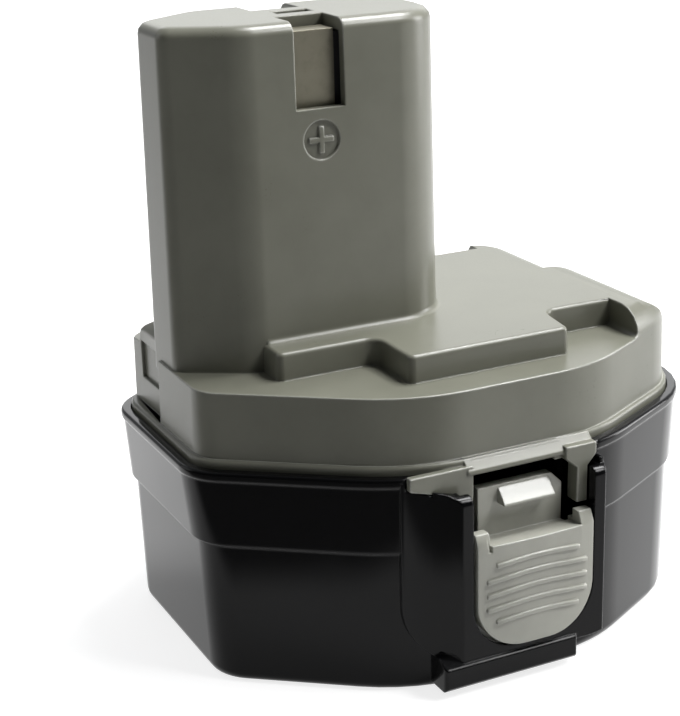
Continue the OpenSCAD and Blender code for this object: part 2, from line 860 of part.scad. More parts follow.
// Lower middle of the pad's top edge, bevelled corners and the groove beside the left one
module pad_dip() {
  corner_w = 2.7;
  bevel_h = 3.6;
  bevel_d = 1.8;
  groove_w = 0.6;
  groove_h = 3.2;
  groove_d = 1.4;
  left = latch_x - pad_half;
  translate([left + corner_w, 0, 0])
    rotate([90, 0, 90])
      linear_extrude(2 * (pad_half - corner_w))
        polygon([
          [-pad_front - 1, pad_top - dip], [-pad_front, pad_top - dip],
          [-plate_front, pad_top - dip - dip_fall], [-plate_front, pad_top + 1], [-pad_front - 1, pad_top + 1]
        ]);
  for (x = [left - 1, latch_x + pad_half - corner_w])
    translate([x, -pad_front, pad_top])
      rotate([90, 0, 90])
        linear_extrude(corner_w + 1)
          polygon([[-1, -bevel_h * (1 + 1 / bevel_d)], [bevel_d, 0], [bevel_d, 1], [-1, 1]]);
  translate([left + corner_w - groove_w, -pad_front - 1, pad_top - groove_h])
    cube([groove_w, groove_d + 1, reach]);
}

module hook() {
  hook_out = 2.4;
  translate([latch_x + 0.6 - hook_half, 0, 0])
    rotate([90, 0, 90])
      linear_extrude(2 * hook_half)
        polygon([
          [-plate_front + eps, plate_top - 0.5],
          [-plate_front - hook_out, plate_top - 3],
          [-plate_front - hook_out, plate_top - 3.4],
          [-plate_front + eps, plate_top - 3.4]
        ]);
}

// Raised grip ribs, arched upwards
module grip() {
  rib_r = 70;
  rib_w = 0.8;
  rib_drop = 4.9;
  intersection() {
    for (i = [0:grip_ribs - 1]) {
      half = pad_half - (abs(i - (grip_ribs - 1) / 2) > 1.5 ? 3.4 : 1.6);
      towards_front(pad_back, pad_front + 0.3)
        intersection() {
          translate([latch_x, pad_top - rib_drop - i * rib_step - rib_r])
            difference() {
              circle(rib_r, $fn = 180);
              circle(rib_r - rib_w, $fn = 180);
            }
          translate([latch_x - half, 0]) square([2 * half, pad_top]);
        }
    }
    translate([latch_x, pad_bulge_r - pad_front - 0.5, 0]) cylinder(r = pad_bulge_r, h = reach, $fn = 180);
  }
}

module front_latch_button() latch_button();
module back_latch_button() mirror([0, 1, 0]) latch_button();

// Latch springs
spring_back = well_back + 0.1;
spring_rise = (spring_front - spring_back - spring_wire) / (spring_turns * 360);
function spring_point(a) = [
  latch_x + spring_r * cos(a),
  -spring_back - spring_wire / 2 - a * spring_rise,
  spring_z + spring_r * sin(a)
];
spring_coil = [for (a = [0:45:spring_turns * 360]) spring_point(a)];
spring_path = concat(
  [spring_coil[0] - [0, 0, spring_wire]],
  spring_coil,
  [spring_coil[len(spring_coil) - 1] + [0, 0, spring_wire]]
);
spring_self_gap = min([
  for (i = [0:len(spring_coil) - 6])
    for (j = [i + 5:min(i + 12, len(spring_coil) - 1)])
      norm(spring_coil[i] - spring_coil[j])
]) - spring_wire;
echo(spring_self_gap = spring_self_gap);

module latch_spring() color(steel) tube(spring_path, spring_wire / 2, 6, [0, 1, 0]);
module front_latch_spring() latch_spring();
module back_latch_spring() mirror([0, 1, 0]) latch_spring();

// Cells. Even places in the chain stand with the cap down.
module each_cell(chain_points, z, first_up) {
  for (i = [0:len(chain_points) - 1])
    translate([chain_points[i][0], chain_points[i][1], z])
      if ((i + first_up) % 2 == 0) translate([0, 0, cell_length]) mirror([0, 0, 1]) children();
      else children();
}

module every_cell() {
  each_cell(chain, cell_z, 0) children();
  each_cell(pod_chain, pod_cell_z, 1) children();
}

module can() cylinder(d = cell_d, h = can_h);
module base_cells() color(steel) each_cell(chain, cell_z, 0) can();
module pod_cells() color(steel) each_cell(pod_chain, pod_cell_z, 1) can();
module cell_sleeves() color("darkgreen")
  every_cell()
    difference() {
      cylinder(r = cell_d / 2 + bore_gap + sleeve_t, h = can_h);
      translate([0, 0, -1]) cylinder(r = cell_d / 2 + bore_gap, h = can_h + 2);
    }
cap_r = 5;
module cell_caps() color(steel) every_cell() translate([0, 0, can_h]) cylinder(r = cap_r, h = cap_h);
module cell_rings() color("white")
  every_cell()
    translate([0, 0, can_h])
      difference() {
        cylinder(r = cell_d / 2 - 0.6, h = 0.3);
        translate([0, 0, -1]) cylinder(r = cap_r + 0.5, h = 2);
      }

// Welded tabs
tab_w = 8;
module tab(a, b, z) {
  across = b - a;
  translate([a[0], a[1], z])
    rotate([0, 0, atan2(across[1], across[0])])
      linear_extrude(tab_t) {
        translate([0, -tab_w / 2]) square([norm(across), tab_w]);
        circle(d = tab_w);
        translate([norm(across), 0]) circle(d = tab_w);
      }
}
riser_x = pod_chain[0][0] + 4.2;
lead_x = pod_left + pod_wall + 1.5;
lead_y = 2.4;
lead_r = 0.8;

module bottom_tabs() color(steel) for (i = [0:2:8]) tab(chain[i], chain[i + 1], cell_z - tab_t);
module top_tabs() color(steel) {
  for (i = [1:2:7]) tab(chain[i], chain[i + 1], cell_top);
  // The last base cell is joined to the first pod cell through a hole in the sheet
  tab(chain[9], [riser_x, 0], cell_top);
  translate([riser_x, 0, cell_top]) cylinder(r = 3, h = pod_cell_z - cell_top);
  translate([chain[0][0], chain[0][1], cell_top]) cylinder(d = tab_w, h = tab_t);
}
module pod_tabs() color(steel) {
  tab(pod_chain[0], pod_chain[1], pod_cell_top);
  tab(pod_chain[1], [lead_x - lead_r - 0.4 + tab_w / 2, 0], pod_cell_z - tab_t);
}

// Insulating sheets and pads
module sheet(inset, end_in) linear_extrude(sheet_t) polygon(outline(base_corners(end_in), inset));
module lower_insulator() color("wheat")
  difference() {
    translate([0, 0, case_floor]) sheet(case_taper + case_wall + 1.5, end_taper);
    at_screws() cylinder(r = boss_radius + 0.3, h = reach);
    on_both_sides()
      translate([latch_x - well_half - well_wall - 0.3, -reach - well_back + well_wall + 0.3, 0])
        cube([2 * (well_half + well_wall + 0.3), reach, reach]);
  }
module upper_insulator() color("wheat")
  difference() {
    translate([0, 0, upper_sheet_z]) sheet(wall_inset + housing_wall + wall_draft + 1, 0);
    at_screws() cylinder(r = post_r + 0.3, h = reach);
    translate([riser_x, 0, 0]) cylinder(r = 3.4, h = reach);
    translate([chain[0][0], chain[0][1], 0]) cylinder(r = 2.4, h = reach);
  }
module pod_insulator() color("wheat")
  translate([0, 0, pod_sheet_z])
    linear_extrude(sheet_t) {
      for (p = pod_chain) translate(p) circle(d = cell_d - 1);
      translate([pod_chain[1][0], -tab_w / 2]) square([pod_pitch, tab_w]);
    }
foam_l = 40;
foam_w = 7;
foam_x = -12;
foam_in = 5;
module foam_pads() color("dimgray")
  on_both_sides()
    translate([foam_x, block_half - foam_in, upper_sheet_z + sheet_t]) cube([foam_l, foam_w, foam_t]);

// Terminals and their block
blade_w = 5;
foot_w = 3;
blade_gap = 0.3;
bend_l = 5;
tail_l = 5.4;
module terminal_block() color("dimgray")
  difference() {
    translate([block_x0, -block_half_depth, block_z])
      cube([block_x1 - block_x0, 2 * block_half_depth, block_top - block_z]);
    translate([valley_x - blade_w / 2 - blade_gap, -contact_t / 2 - blade_gap, block_z - 1])
      cube([blade_w + 2 * blade_gap, contact_t + 2 * blade_gap, reach]);
    translate([valley_x - foot_w / 2 - blade_gap, -block_half_depth - 1, block_z - 1])
      cube([foot_w + 2 * blade_gap, block_half_depth + 1 + contact_t / 2 + blade_gap, contact_t + 1.4]);
  }

module contact() {
  plate = [contact_w, contact_t, block_top + contact_t - tail_z];
  // Upright strip seen through the slot, bent over the block's top
  translate([slot_x - contact_w / 2, -block_half_depth - contact_t, tail_z]) cube(plate);
  translate([slot_x - contact_w / 2, -block_half_depth - contact_t, block_top])
    cube([contact_w, bend_l, contact_t]);
  // Tail round the end of the block, where the lead is joined
  translate([block_x0 - contact_t, -block_half_depth - contact_t, tail_z])
    cube([slot_x - block_x0, contact_t, tail_h]);
  translate([block_x0 - contact_t, -block_half_depth - contact_t, tail_z])
    cube([contact_t, tail_l, tail_h]);
}
module positive_terminal() color(brass) contact();
module negative_terminal() color(brass) mirror([0, 1, 0]) contact();
module sensor_terminal() color(brass) {
  translate([valley_x - blade_w / 2, -contact_t / 2, block_z])
    cube([blade_w, contact_t, block_top + contact_t - block_z]);
  translate([valley_x - foot_w / 2, -block_half_depth + 0.2, block_z])
    cube([foot_w, block_half_depth, contact_t]);
}

// Heat cut-out in the valley between the pod cells, and the leads
switch_w = 5.4;
switch_d = 3.2;
switch_h = 14;
switch_z = pod_cell_z + cell_length / 3;
switch_y = sleeve_r - switch_d / 2 - 0.2;
module thermal_switch() color("black")
  translate([valley_x - switch_w / 2, -switch_y - switch_d / 2, switch_z])
    cube([switch_w, switch_d, switch_h]);

join_y = block_half_depth + contact_t - 2.6;
join_z = tail_z + tail_h / 2;
end_x = block_x0 - contact_t;
lead_rise = [
  [lead_x, lead_y, pod_cell_z + 8],
  [lead_x, lead_y, block_z - 2.5],
  [lead_x + 1.2, lead_y + 1, block_z + 1],
  [end_x - 4.5, join_y - 1, join_z],
  [end_x - 1.6, join_y, join_z],
  [end_x, join_y, join_z]
];
under_z = (upper_sheet_z + sheet_t + ceiling_z) / 2;
negative_path = concat(
  [
    [chain[0][0], chain[0][1], cell_top + tab_t],
    [chain[0][0], chain[0][1], cell_top + tab_t + 1],
    [chain[0][0] - 2, chain[0][1] - 0.4, under_z],
    [chain[0][0] - 0.4 * cell_pitch, chain[0][1] - 0.1 * cell_pitch, under_z],
    [lead_x + 0.15 * cell_pitch, 0.35 * cell_pitch, under_z],
    [lead_x, lead_y + 1, under_z + 1],
    [lead_x, lead_y, under_z + 3.5]
  ],
  lead_rise
);
positive_path = concat(
  [[lead_x, lead_y, pod_cell_z], [lead_x, lead_y, pod_cell_z + 4 * lead_r]],
  lead_rise
);
module positive_lead() color("red") mirror([0, 1, 0]) tube(positive_path, lead_r, 8, [1, 0.3, 0.2]);
module negative_lead() color("black") tube(negative_path, lead_r, 8, [1, 0.3, 0.2]);
module sensor_lead() color("white")
  translate([valley_x, -switch_y, switch_z + switch_h])
    cylinder(r = lead_r, h = block_z - switch_z - switch_h);

module case_screws() color(steel)
  at_screws() {
    difference() {
      translate([0, 0, sink_z - head_h]) cylinder(r = head_r, h = head_h);
      for (a = [0, 90])
        rotate([0, 0, a])
          translate([-cross_l / 2, -cross_w / 2, sink_z - head_h - 1])
            cube([cross_l, cross_w, 1 + cross_depth]);
    }
    translate([0, 0, sink_z]) cylinder(d = screw_d, h = screw_length);
  }

lower_case();
upper_housing();
front_latch_button();
back_latch_button();
front_latch_spring();
back_latch_spring();
base_cells();
pod_cells();
cell_sleeves();
cell_caps();
cell_rings();
bottom_tabs();
top_tabs();
pod_tabs();
lower_insulator();
upper_insulator();
pod_insulator();
foam_pads();
terminal_block();
positive_terminal();
negative_terminal();
sensor_terminal();
thermal_switch();
positive_lead();
negative_lead();
sensor_lead();
case_screws();
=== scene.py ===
import math

import bmesh
import bpy
from mathutils import Matrix, Vector


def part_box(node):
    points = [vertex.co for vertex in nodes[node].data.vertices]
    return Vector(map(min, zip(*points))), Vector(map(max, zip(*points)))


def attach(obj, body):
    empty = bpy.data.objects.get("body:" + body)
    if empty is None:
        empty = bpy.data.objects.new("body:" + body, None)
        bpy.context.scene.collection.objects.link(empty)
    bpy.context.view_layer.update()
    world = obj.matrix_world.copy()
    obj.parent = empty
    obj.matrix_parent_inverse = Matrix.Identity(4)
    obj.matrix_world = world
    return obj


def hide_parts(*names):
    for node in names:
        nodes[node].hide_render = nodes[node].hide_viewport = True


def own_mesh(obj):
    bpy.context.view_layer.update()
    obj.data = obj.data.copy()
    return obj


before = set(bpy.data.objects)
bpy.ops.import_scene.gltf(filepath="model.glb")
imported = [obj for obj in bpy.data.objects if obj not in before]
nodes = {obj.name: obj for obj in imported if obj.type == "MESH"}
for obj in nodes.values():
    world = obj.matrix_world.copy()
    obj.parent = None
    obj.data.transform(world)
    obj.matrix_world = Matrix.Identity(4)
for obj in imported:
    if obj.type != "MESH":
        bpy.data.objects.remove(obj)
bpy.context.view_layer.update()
scene = bpy.context.scene
mm = 0.001


class Wire:
    # A socket in a node tree, with arithmetic that adds Math nodes
    def __init__(self, net, socket):
        self.net = net
        self.socket = socket

    def calc(self, operation, first, second):
        return self.net.add("ShaderNodeMath", {"operation": operation}, {0: first, 1: second})

    def __add__(self, other):
        return self.calc("ADD", self, other)

    def __radd__(self, other):
        return self.calc("ADD", other, self)

    def __sub__(self, other):
        return self.calc("SUBTRACT", self, other)

    def __rsub__(self, other):
        return self.calc("SUBTRACT", other, self)

    def __mul__(self, other):
        return self.calc("MULTIPLY", self, other)

    def __rmul__(self, other):
        return self.calc("MULTIPLY", other, self)


class Net:
    # A node tree whose new nodes all come from add
    def __init__(self, tree):
        self.tree = tree

    def add(self, kind, settings, inputs, output=0):
        node = self.tree.nodes.new(kind)
        for key, value in settings.items():
            setattr(node, key, value)
        for key, value in inputs.items():
            self.feed(node.inputs[key], value)
        return Wire(self, node.outputs[output])

    def feed(self, socket, value):
        if isinstance(value, Wire):
            self.tree.links.new(value.socket, socket)
        else:
            socket.default_value = value

    def ramp(self, value, low, high):
        return self.add("ShaderNodeMapRange", {"interpolation_type": "SMOOTHSTEP"}, {
            "Value": value, "From Min": low, "From Max": high})

    def dot(self, first, second):
        return self.add("ShaderNodeVectorMath", {"operation": "DOT_PRODUCT"}, {0: first, 1: second}, "Value")

    def larger(self, first, second):
        return self.add("ShaderNodeMath", {"operation": "MAXIMUM"}, {0: first, 1: second})


class Paint(Net):
    # A material on one Principled shader, whose varying inputs are wired by name
    bevelSamples = 6
    # How far the rounded normal agrees with the plain one on an open face, and on an edge where the mask for
    # the painted highlight is full
    openFace = 0.995
    paintedHighlightEdge = 0.8
    # Colour sockets of the Mix node
    mixFirst = 6
    mixSecond = 7
    mixResult = 2

    def __init__(self, name, uniform):
        self.material = bpy.data.materials.new(name)
        self.material.use_nodes = True
        super().__init__(self.material.node_tree)
        self.shader = self.tree.nodes["Principled BSDF"]
        self.surface = Wire(self, self.shader.outputs[0])
        for key, value in uniform.items():
            self.shader.inputs[key].default_value = value
        self.place = self.add("ShaderNodeTexCoord", {}, {}, "Object")

    def wire(self, **inputs):
        for key, value in inputs.items():
            self.feed(self.shader.inputs[key.replace("_", " ")], value)

    def noise(self, size, detail=2, rough=0.5, stretch=(1, 1, 1)):
        place = self.add("ShaderNodeMapping", {}, {"Vector": self.place, "Scale": stretch})
        return self.add("ShaderNodeTexNoise", {}, {
            "Vector": place, "Scale": 1 / size, "Detail": detail, "Roughness": rough})

    def colour(self, value):
        return (*value, 1) if isinstance(value, tuple) else value

    def mix(self, factor, first, second):
        return self.add("ShaderNodeMix", {"data_type": "RGBA"}, {
            "Factor": factor, self.mixFirst: self.colour(first), self.mixSecond: self.colour(second)},
            self.mixResult)

    def rounded(self, radius):
        return self.add("ShaderNodeBevel", {"samples": self.bevelSamples}, {"Radius": radius})

    def edges(self, radius):
        # 0 on open faces, rising towards 1 along outer edges
        flat = self.add("ShaderNodeNewGeometry", {}, {}, "Normal")
        outward = self.add("ShaderNodeAttribute", {"attribute_name": "outward"}, {}, "Fac")
        return self.ramp(self.dot(self.rounded(radius), flat), self.openFace, self.paintedHighlightEdge) * outward

    def bump(self, height, distance, strength=1.0, normal=None):
        inputs = {"Height": height, "Distance": distance, "Strength": strength}
        if normal is not None:
            inputs["Normal"] = normal
        return self.add("ShaderNodeBump", {}, inputs)


# Moulded plastics

mould = {"cloud": 12 * mm, "cloudLow": 0.3, "cloudHigh": 0.7, "roughCloud": 0.08, "edgePolish": 0.1}


def mouldedPlastic(name, style):
    paint = Paint(name, {"IOR": 1.5, "Specular IOR Level": style["specular"]})
    grain = paint.noise(style["grain"], detail=3, rough=0.6)
    cloud = paint.noise(mould["cloud"], detail=4, rough=0.6)
    edge = paint.edges(style["edge"])
    shade = paint.ramp(cloud, mould["cloudLow"], mould["cloudHigh"])
    base = paint.mix(shade, style["dark"], style["light"])
    # Outer edges get a painted highlight: the base colour turns pale along them by the edge mask
    paint.wire(
        Base_Color=paint.mix(edge * style["paintedHighlightShare"], base, style["paintedHighlight"]),
        Roughness=(style["rough"] + (grain - 0.5) * style["roughGrain"]
                   + (cloud - 0.5) * mould["roughCloud"] - edge * mould["edgePolish"]),
        Normal=paint.bump(grain, style["depth"], 1.0, paint.rounded(style["round"])))
    return paint.material


housingPlastic = mouldedPlastic("housingPlastic", {
    "dark": (0.135, 0.136, 0.108), "light": (0.15, 0.151, 0.121), "paintedHighlight": (0.62, 0.62, 0.58),
    "paintedHighlightShare": 0.8, "edge": 0.6 * mm, "round": 0.45 * mm, "specular": 0.42,
    "rough": 0.3, "roughGrain": 0.08, "grain": 0.3 * mm, "depth": 0.008 * mm})
buttonPlastic = mouldedPlastic("buttonPlastic", {
    "dark": (0.31, 0.31, 0.272), "light": (0.345, 0.345, 0.302), "paintedHighlight": (0.74, 0.74, 0.69),
    "paintedHighlightShare": 0.6, "edge": 0.4 * mm, "round": 0.35 * mm, "specular": 0.5,
    "rough": 0.24, "roughGrain": 0.08, "grain": 0.25 * mm, "depth": 0.006 * mm})
blockPlastic = mouldedPlastic("blockPlastic", {
    "dark": (0.02, 0.02, 0.021), "light": (0.028, 0.028, 0.029), "paintedHighlight": (0.07, 0.07, 0.07),
    "paintedHighlightShare": 0.5, "edge": 0.4 * mm, "round": 0.3 * mm, "specular": 0.5,
    "rough": 0.5, "roughGrain": 0.1, "grain": 0.3 * mm, "depth": 0.006 * mm})


# Case plastic: deep black seen straight on, with a gloss that rises towards grazing angles

gloss = {
    "black": (0.0025, 0.0025, 0.0028), "paintedHighlight": (0.03, 0.03, 0.032), "paintedHighlightShare": 0.25, "edge": 0.5 * mm,
    "smear": 9 * mm, "smearStretch": (1, 1, 0.4), "smearLow": 0.45, "smearHigh": 0.75,
    "fine": 0.12 * mm, "rough": 0.08, "roughSmear": 0.06, "roughFine": 0.03,
    "coatLow": 0.3, "coatHigh": 0.65, "coat": 0.34, "coatEdge": 0.4,
    "wave": 26 * mm, "waveFine": 0.01, "depth": 0.06 * mm, "strength": 0.5, "round": 0.5 * mm}


def glossyPlastic(name):
    paint = Paint(name, {"IOR": 1.5, "Specular IOR Level": 0.14, "Coat IOR": 1.45, "Coat Roughness": 0.1})
    smear = paint.noise(gloss["smear"], detail=5, rough=0.65, stretch=gloss["smearStretch"])
    fine = paint.noise(gloss["fine"])
    wave = paint.noise(gloss["wave"], rough=0.4)
    edge = paint.edges(gloss["edge"])
    facing = paint.add("ShaderNodeLayerWeight", {}, {"Blend": 0.5}, "Facing")
    smeared = paint.ramp(smear, gloss["smearLow"], gloss["smearHigh"])
    grazing = paint.ramp(facing, gloss["coatLow"], gloss["coatHigh"])
    height = wave + fine * gloss["waveFine"]
    # Outer edges get a faint painted highlight in the base colour, besides the coat's gloss on them
    paint.wire(
        Base_Color=paint.mix(edge * gloss["paintedHighlightShare"], gloss["black"], gloss["paintedHighlight"]),
        Roughness=gloss["rough"] + smeared * gloss["roughSmear"] + fine * gloss["roughFine"],
        Coat_Weight=grazing * gloss["coat"] + edge * gloss["coatEdge"],
        Normal=paint.bump(height, gloss["depth"], gloss["strength"], paint.rounded(gloss["round"])))
    return paint.material


casePlastic = glossyPlastic("casePlastic")


# Metals

metal = {"stain": 4 * mm, "stainLow": 0.45, "stainHigh": 0.75, "roughBrush": 0.15,
         "roughTarnish": 0.12, "depth": 0.004 * mm, "round": 0.12 * mm}


def brushedMetal(name, style):
    paint = Paint(name, {"Metallic": 1.0})
    brush = paint.noise(style["brush"], detail=3, rough=0.6, stretch=style["stretch"])
    stain = paint.noise(metal["stain"], detail=4, rough=0.6)
    tarnish = paint.ramp(stain, metal["stainLow"], metal["stainHigh"])
    paint.wire(
        Base_Color=paint.mix(tarnish * style["tarnish"], style["clean"], style["dull"]),
        Roughness=style["rough"] + (brush - 0.5) * metal["roughBrush"] + tarnish * metal["roughTarnish"],
        Normal=paint.bump(brush, metal["depth"], 1.0, paint.rounded(metal["round"])))
    return paint.material


contactMetal = brushedMetal("contactMetal", {
    "clean": (0.28, 0.265, 0.205), "dull": (0.2, 0.185, 0.14), "tarnish": 0.5,
    "rough": 0.4, "brush": 0.15 * mm, "stretch": (1, 1, 0.05)})
cellSteel = brushedMetal("cellSteel", {
    "clean": (0.62, 0.62, 0.6), "dull": (0.4, 0.4, 0.38), "tarnish": 0.4,
    "rough": 0.26, "brush": 0.2 * mm, "stretch": (1, 1, 0.1)})
tabNickel = brushedMetal("tabNickel", {
    "clean": (0.66, 0.63, 0.57), "dull": (0.45, 0.42, 0.38), "tarnish": 0.4,
    "rough": 0.3, "brush": 0.15 * mm, "stretch": (0.1, 1, 1)})
springSteel = brushedMetal("springSteel", {
    "clean": (0.58, 0.58, 0.58), "dull": (0.33, 0.32, 0.3), "tarnish": 0.5,
    "rough": 0.28, "brush": 0.12 * mm, "stretch": (1, 1, 1)})
screwZinc = brushedMetal("screwZinc", {
    "clean": (0.55, 0.56, 0.58), "dull": (0.34, 0.34, 0.34), "tarnish": 0.6,
    "rough": 0.33, "brush": 0.1 * mm, "stretch": (1, 1, 1)})


# Sleeves of the cells

sleeve = {"dark": (0.012, 0.13, 0.055), "light": (0.02, 0.17, 0.075), "tint": 15 * mm,
          "crinkle": 3 * mm, "stretch": (1, 1, 3), "rough": 0.24, "roughCrinkle": 0.16,
          "depth": 0.08 * mm, "strength": 0.6}


def shrinkSleeve(name):
    paint = Paint(name, {"IOR": 1.5, "Specular IOR Level": 0.45})
    crinkle = paint.noise(sleeve["crinkle"], detail=4, rough=0.6, stretch=sleeve["stretch"])
    paint.wire(
        Base_Color=paint.mix(paint.noise(sleeve["tint"]), sleeve["dark"], sleeve["light"]),
        Roughness=sleeve["rough"] + crinkle * sleeve["roughCrinkle"],
        Normal=paint.bump(crinkle, sleeve["depth"], sleeve["strength"]))
    return paint.material


# Card of the insulating sheets

card = {"dark": (0.42, 0.33, 0.2), "light": (0.62, 0.52, 0.36), "fibre": 0.5 * mm, "stretch": (1, 0.2, 1),
        "fibreShare": 0.7, "fleck": 1.6 * mm, "fleckShare": 0.3, "rough": 0.72, "roughFibre": 0.16,
        "depth": 0.05 * mm}


def fibreCard(name):
    paint = Paint(name, {"IOR": 1.45, "Specular IOR Level": 0.3})
    fibre = paint.noise(card["fibre"], detail=5, rough=0.7, stretch=card["stretch"])
    fleck = paint.noise(card["fleck"], detail=3, rough=0.6)
    speckle = fibre * card["fibreShare"] + fleck * card["fleckShare"]
    paint.wire(
        Base_Color=paint.mix(speckle, card["dark"], card["light"]),
        Roughness=card["rough"] + fibre * card["roughFibre"],
        Normal=paint.bump(fibre, card["depth"]))
    return paint.material


# Open-celled foam

sponge = {"dark": (0.012, 0.012, 0.013), "light": (0.05, 0.05, 0.052), "pore": 0.7 * mm,
          "poreLow": 0.15, "poreHigh": 0.6, "rough": 0.82, "roughPore": 0.14, "depth": 0.2 * mm}


def openFoam(name):
    paint = Paint(name, {"IOR": 1.4, "Specular IOR Level": 0.15})
    cells = paint.add("ShaderNodeTexVoronoi", {"feature": "F1"}, {
        "Vector": paint.place, "Scale": 1 / sponge["pore"]})
    pores = paint.ramp(cells, sponge["poreLow"], sponge["poreHigh"])
    paint.wire(
        Base_Color=paint.mix(pores, sponge["dark"], sponge["light"]),
        Roughness=sponge["rough"] + pores * sponge["roughPore"],
        Normal=paint.bump(pores, sponge["depth"]))
    return paint.material


# Jackets of the leads

jacket = {"tint": 6 * mm, "skin": 0.3 * mm, "rough": 0.4, "roughSkin": 0.15, "depth": 0.008 * mm}


def leadJacket(name, dark, light):
    paint = Paint(name, {"IOR": 1.46, "Specular IOR Level": 0.4})
    skin = paint.noise(jacket["skin"], detail=3)
    paint.wire(
        Base_Color=paint.mix(paint.noise(jacket["tint"]), dark, light),
        Roughness=jacket["rough"] + skin * jacket["roughSkin"],
        Normal=paint.bump(skin, jacket["depth"]))
    return paint.material


cellSleeve = shrinkSleeve("cellSleeve")
insulatorCard = fibreCard("insulatorCard")
padFoam = openFoam("padFoam")
redJacket = leadJacket("redJacket", (0.38, 0.012, 0.01), (0.5, 0.02, 0.016))
blackJacket = leadJacket("blackJacket", (0.01, 0.01, 0.011), (0.02, 0.02, 0.022))
whiteJacket = leadJacket("whiteJacket", (0.66, 0.66, 0.63), (0.76, 0.76, 0.73))
print("materials made")


# CAD nodes that keep their own shape

nodeFinishes = {
    "base_cells": cellSteel, "pod_cells": cellSteel, "cell_sleeves": cellSleeve,
    "cell_caps": cellSteel, "cell_rings": insulatorCard,
    "bottom_tabs": tabNickel, "top_tabs": tabNickel, "pod_tabs": tabNickel,
    "lower_insulator": insulatorCard, "upper_insulator": insulatorCard, "pod_insulator": insulatorCard,
    "terminal_block": blockPlastic, "positive_terminal": contactMetal, "negative_terminal": contactMetal,
    "sensor_terminal": contactMetal, "thermal_switch": blockPlastic, "case_screws": screwZinc,
}
for nodeName, finish in nodeFinishes.items():
    slots = nodes[nodeName].data.materials
    slots.clear()
    slots.append(finish)


def newPiece(name, data, finish, body, node):
    piece = bpy.data.objects.new(name, data)
    scene.collection.objects.link(piece)
    data.materials.clear()
    data.materials.append(finish)
    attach(piece, body)
    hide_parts(node)
    return piece


# The lowered half of the nose comes through the corner of the room inside, and is closed here

nose = {
    "low": (43 * mm, 4 * mm, 49 * mm), "high": (46.6 * mm, 20 * mm, 52.1 * mm),
    "axis": (34.3 * mm, 45.3 * mm), "rimAngle": math.radians(100), "seam": math.radians(4),
    "outerNormal": 0.3, "cornerAngle": 1, "sameAngle": 0.004,
    "merge": 0.3 * mm, "level": 0.01 * mm, "wall": 1.2 * mm}


def vertsOf(edges):
    return list(dict.fromkeys(vert for edge in edges for vert in edge.verts))


def drawBack(inner):
    # The wall inside draws back, so that the new skin has some thickness
    verts = vertsOf(inner)
    ceiling = max(vert.co.z for vert in verts)
    for vert in verts:
        corners = [edge for edge in vert.link_edges
                   if not edge.is_boundary and edge.calc_face_angle() > nose["cornerAngle"]]
        if corners:
            vert.co += (corners[0].other_vert(vert).co - vert.co).normalized() * nose["wall"]
        elif vert.co.z > ceiling - nose["level"]:
            vert.co.x -= nose["wall"]
        else:
            vert.co.z -= nose["wall"]


def closeNose(form):
    def inside(vert):
        return all(low < value < high for low, value, high in zip(nose["low"], vert.co, nose["high"]))

    def polarAngle(vert):
        return math.atan2(vert.co.z - nose["axis"][1], vert.co.x - nose["axis"][0])

    rim = [edge for edge in form.edges if all(inside(vert) for vert in edge.verts)
           and edge.calc_face_angle_signed() > nose["rimAngle"]]
    bmesh.ops.split_edges(form, edges=rim)
    rim = [edge for edge in form.edges if edge.is_boundary]
    outer = [edge for edge in rim if edge.link_faces[0].normal.x > nose["outerNormal"]]
    inner = [edge for edge in rim if edge not in outer]
    drawBack(inner)
    bmesh.ops.contextual_create(form, geom=inner)
    bmesh.ops.remove_doubles(form, verts=vertsOf(outer), dist=nose["merge"])
    outer = [edge for edge in form.edges if edge.is_boundary]
    skin = bmesh.ops.contextual_create(form, geom=outer)["faces"]
    ring = sorted(vertsOf(skin), key=polarAngle)
    for first, second in zip(ring, ring[1:]):
        if polarAngle(second) - polarAngle(first) < nose["sameAngle"]:
            bmesh.ops.connect_verts(form, verts=[first, second])
    bmesh.ops.dissolve_edges(form, edges=[edge for edge in outer if edge.calc_face_angle() < nose["seam"]])
    bmesh.ops.recalc_face_normals(form, faces=form.faces)
    print("nose closed:", len(outer), "edges outside,", len(inner), "inside")


# Shells and buttons: merged copies of their nodes with rounded edges

rounding = {"angle": math.radians(32), "crease": 1.2, "segments": 2,
            "merge": 0.002 * mm, "flat": math.radians(0.5), "normalWeight": 80}


def roundEdges(form, radius):
    # Outer edges are rounded and marked to take the painted highlight, and inner corners stay crisp
    limit = rounding["angle"]
    outer = [edge for edge in form.edges if edge.calc_face_angle_signed(0) > limit]
    bmesh.ops.bevel(form, geom=outer, offset=radius, offset_type="OFFSET", affect="EDGES",
                    segments=rounding["segments"], profile=0.5, material=-1, clamp_overlap=False)
    form.normal_update()
    outward = form.verts.layers.float.new("outward")
    for edge in form.edges:
        edge.smooth = edge.calc_face_angle(0) < rounding["crease"] * limit
    for vert in form.verts:
        vert[outward] = 1 if all(edge.calc_face_angle_signed(0) > -limit for edge in vert.link_edges) else 0


def roundedCopy(style):
    form = bmesh.new()
    form.from_mesh(nodes[style["node"]].data)
    bmesh.ops.remove_doubles(form, verts=form.verts, dist=rounding["merge"])
    bmesh.ops.dissolve_limit(form, angle_limit=rounding["flat"], verts=form.verts, edges=form.edges)
    if style["node"] == "upper_housing":
        closeNose(form)
    roundEdges(form, style["radius"])
    mesh = bpy.data.meshes.new(style["name"])
    form.to_mesh(mesh)
    form.free()
    for extra in ("custom_normal", "sharp_face"):
        if extra in mesh.attributes:
            mesh.attributes.remove(mesh.attributes[extra])
    piece = newPiece(style["name"], mesh, style["finish"], style["body"], style["node"])
    flat = piece.modifiers.new("normals", "WEIGHTED_NORMAL")
    flat.mode = "FACE_AREA"
    flat.weight = rounding["normalWeight"]
    flat.keep_sharp = True


